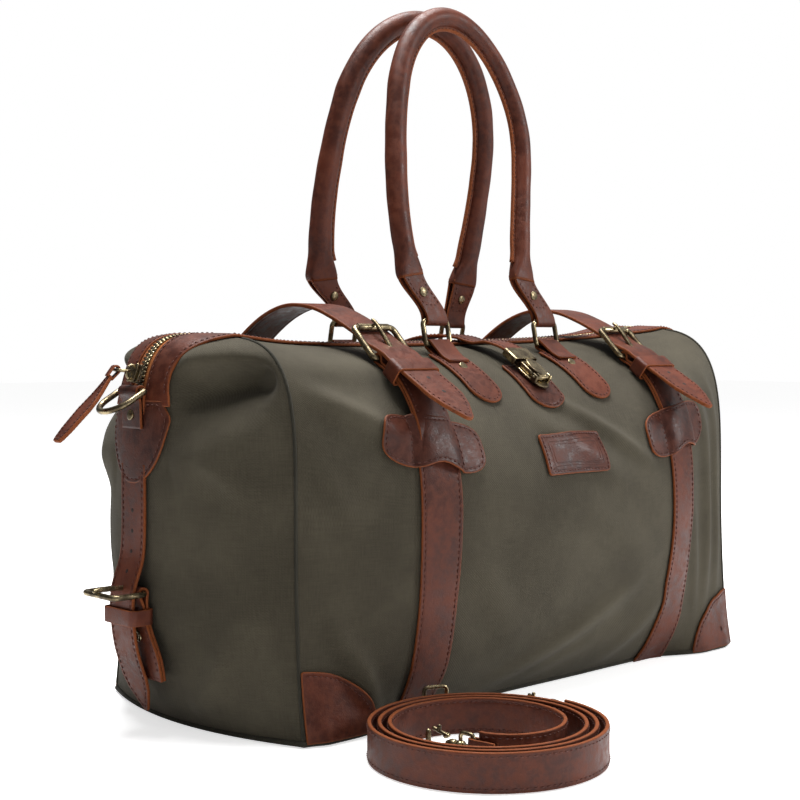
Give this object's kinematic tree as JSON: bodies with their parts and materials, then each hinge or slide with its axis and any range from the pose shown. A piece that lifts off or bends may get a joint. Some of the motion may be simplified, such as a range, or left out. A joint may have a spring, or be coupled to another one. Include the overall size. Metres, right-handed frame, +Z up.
{
  "type": "duffel bag",
  "caption": "Canvas weekender duffel with leather bands, rolled handles, over-the-top buckled straps, zip, end D-rings and a coiled detachable shoulder strap.",
  "frame": {"origin": "centre of the base on the floor", "axes": "+X along the bag, -Y its front, +Z up"},
  "size_m": [0.7433, 0.4613, 0.5793],
  "materials": {
    "canvas": "washed, lightly waxed heavy cotton canvas",
    "leather": "oiled pull-up leather with raw edges",
    "brass": "antique brass, brushed and darkened",
    "zip_tape": "woven zip tape",
    "lining": "plain cotton lining",
    "board": "stiff fibre board",
    "handle_core": "twisted cotton rope"
  },
  "bodies": {
    "bag": {"front_panel": "canvas", "back_panel": "canvas", "base_panel": "canvas", "end_panel_left": "canvas", "end_panel_right": "canvas", "lining": "lining", "base_board": "board", "zip_tapes": "zip_tape", "zip_teeth": "brass", "zip_facings": "leather", "corner_patches": "leather", "front_bands": "leather", "back_bands": "leather", "butterfly_keepers": "leather", "label_patch": "leather", "strap_left": "leather", "strap_right": "leather", "buckle_frames": "brass", "buckle_chapes": "leather", "strap_keepers": "leather", "centre_strap": "leather", "centre_tab": "leather", "clasp_body": "brass", "rivets": "brass", "handle_chapes": "leather", "end_shields": "leather", "end_straps": "leather", "end_chapes": "leather", "end_keepers": "leather", "end_buckles": "brass"},
    "buckle_prong_left": {"buckle_prong_left": "brass"},
    "buckle_prong_right": {"buckle_prong_right": "brass"},
    "roller_left": {"roller_left": "brass"},
    "roller_right": {"roller_right": "brass"},
    "clasp_lever": {"clasp_lever": "brass"},
    "ring_front_left": {"ring_front_left": "brass"},
    "ring_front_right": {"ring_front_right": "brass"},
    "ring_back_left": {"ring_back_left": "brass"},
    "ring_back_right": {"ring_back_right": "brass"},
    "handle_front": {"handle_front": "leather", "handle_core_front": "handle_core", "handle_tabs_front": "leather"},
    "handle_back": {"handle_back": "leather", "handle_core_back": "handle_core", "handle_tabs_back": "leather"},
    "d_ring_left": {"d_ring_left": "brass"},
    "d_ring_right": {"d_ring_right": "brass"},
    "end_prong_left": {"end_prong_left": "brass"},
    "end_prong_right": {"end_prong_right": "brass"},
    "zip_slider": {"zip_slider": "brass"},
    "zip_pull_ring": {"zip_pull_ring": "brass"},
    "zip_puller": {"zip_puller": "leather"},
    "shoulder_strap": {"shoulder_strap": "leather", "shoulder_buckle": "brass", "swivel_eyes": "brass"},
    "shoulder_prong": {"shoulder_prong": "brass"},
    "hook_outer": {"hook_outer": "brass"},
    "hook_inner": {"hook_inner": "brass"},
    "trigger_outer": {"trigger_outer": "brass"},
    "trigger_inner": {"trigger_inner": "brass"}
  },
  "joints": [
    {"name": "prong_left_turn", "type": "hinge", "parent": "bag", "child": "buckle_prong_left", "pos_m": [-0.15, -0.094, 0.2725], "axis": [1, 0, 0], "range_deg": [0, 50]},
    {"name": "roller_left_turn", "type": "hinge", "parent": "bag", "child": "roller_left", "pos_m": [-0.15, -0.06996, 0.29654], "axis": [1, 0, 0], "continuous": true},
    {"name": "prong_right_turn", "type": "hinge", "parent": "bag", "child": "buckle_prong_right", "pos_m": [0.15, -0.094, 0.2725], "axis": [1, 0, 0], "range_deg": [0, 50]},
    {"name": "roller_right_turn", "type": "hinge", "parent": "bag", "child": "roller_right", "pos_m": [0.15, -0.06996, 0.29654], "axis": [1, 0, 0], "continuous": true},
    {"name": "clasp_lever_open", "type": "hinge", "parent": "bag", "child": "clasp_lever", "pos_m": [0, -0.11328, 0.25679], "axis": [1, 0, 0], "range_deg": [0, 45], "stiffness_Nm_per_rad": 0.01},
    {"name": "ring_front_left_turn", "type": "hinge", "parent": "bag", "child": "ring_front_left", "pos_m": [-0.068, -0.06, 0.283], "axis": [1, 0, 0], "range_deg": [0, 60]},
    {"name": "ring_front_right_turn", "type": "hinge", "parent": "bag", "child": "ring_front_right", "pos_m": [0.068, -0.06, 0.283], "axis": [1, 0, 0], "range_deg": [0, 60]},
    {"name": "handle_front_fold", "type": "hinge", "parent": "ring_front_left", "child": "handle_front", "pos_m": [0, -0.056, 0.303], "axis": [1, 0, 0], "range_deg": [0, 35]},
    {"name": "ring_back_left_turn", "type": "hinge", "parent": "bag", "child": "ring_back_left", "pos_m": [-0.068, 0.06, 0.283], "axis": [-1, 0, 0], "range_deg": [0, 60]},
    {"name": "ring_back_right_turn", "type": "hinge", "parent": "bag", "child": "ring_back_right", "pos_m": [0.068, 0.06, 0.283], "axis": [-1, 0, 0], "range_deg": [0, 60]},
    {"name": "handle_back_fold", "type": "hinge", "parent": "ring_back_left", "child": "handle_back", "pos_m": [0, 0.056, 0.303], "axis": [-1, 0, 0], "range_deg": [0, 35]},
    {"name": "d_ring_left_drop", "type": "hinge", "parent": "bag", "child": "d_ring_left", "pos_m": [-0.3245, 0, 0.249], "axis": [0, -1, 0], "range_deg": [0, 45]},
    {"name": "end_prong_left_lift", "type": "hinge", "parent": "bag", "child": "end_prong_left", "pos_m": [-0.3255, 0, 0.103], "axis": [0, 1, 0], "range_deg": [0, 50]},
    {"name": "d_ring_right_drop", "type": "hinge", "parent": "bag", "child": "d_ring_right", "pos_m": [0.3245, 0, 0.249], "axis": [0, 1, 0], "range_deg": [0, 45]},
    {"name": "end_prong_right_lift", "type": "hinge", "parent": "bag", "child": "end_prong_right", "pos_m": [0.3255, 0, 0.103], "axis": [0, -1, 0], "range_deg": [0, 50]},
    {"name": "zip_slider_run", "type": "hinge", "parent": "bag", "child": "zip_slider", "pos_m": [-0.2717, 0, 0.2574], "axis": [0, 1, 0], "range_deg": [0, 52]},
    {"name": "zip_ring_swing", "type": "hinge", "parent": "zip_slider", "child": "zip_pull_ring", "pos_m": [-0.32752, 0, 0.26392], "axis": [0, 1, 0], "range_deg": [0, 35]},
    {"name": "zip_puller_swing", "type": "hinge", "parent": "zip_pull_ring", "child": "zip_puller", "pos_m": [-0.33852, 0, 0.26492], "axis": [0, 1, 0], "range_deg": [0, 60]},
    {"name": "shoulder_strap_lift", "type": "slide", "parent": "bag", "child": "shoulder_strap", "axis": [0, -0.5, 0.866], "range_m": [0, 0.15]},
    {"name": "shoulder_prong_turn", "type": "hinge", "parent": "shoulder_strap", "child": "shoulder_prong", "pos_m": [-0.14961, -0.15048, 0.0166], "axis": [0, 0, -1], "range_deg": [0, 50]},
    {"name": "hook_outer_swivel", "type": "hinge", "parent": "shoulder_strap", "child": "hook_outer", "pos_m": [-0.10124, -0.21906, 0.013], "axis": [0.1523, 0.9883, 0], "continuous": true},
    {"name": "trigger_outer_press", "type": "hinge", "parent": "hook_outer", "child": "trigger_outer", "pos_m": [-0.09764, -0.19573, 0.0183], "axis": [-0.9883, 0.1523, 0], "range_deg": [0, 20], "stiffness_Nm_per_rad": 0.01},
    {"name": "hook_inner_swivel", "type": "hinge", "parent": "shoulder_strap", "child": "hook_inner", "pos_m": [-0.21085, -0.23677, 0.013], "axis": [-0.0834, 0.9965, 0], "continuous": true},
    {"name": "trigger_inner_press", "type": "hinge", "parent": "hook_inner", "child": "trigger_inner", "pos_m": [-0.21282, -0.21325, 0.0183], "axis": [-0.9965, -0.0834, 0], "range_deg": [0, 20], "stiffness_Nm_per_rad": 0.01}
  ],
  "couplings": [
    {"joint": "ring_front_right_turn", "follows": "ring_front_left_turn", "ratio": 1},
    {"joint": "ring_back_right_turn", "follows": "ring_back_left_turn", "ratio": 1}
  ]
}
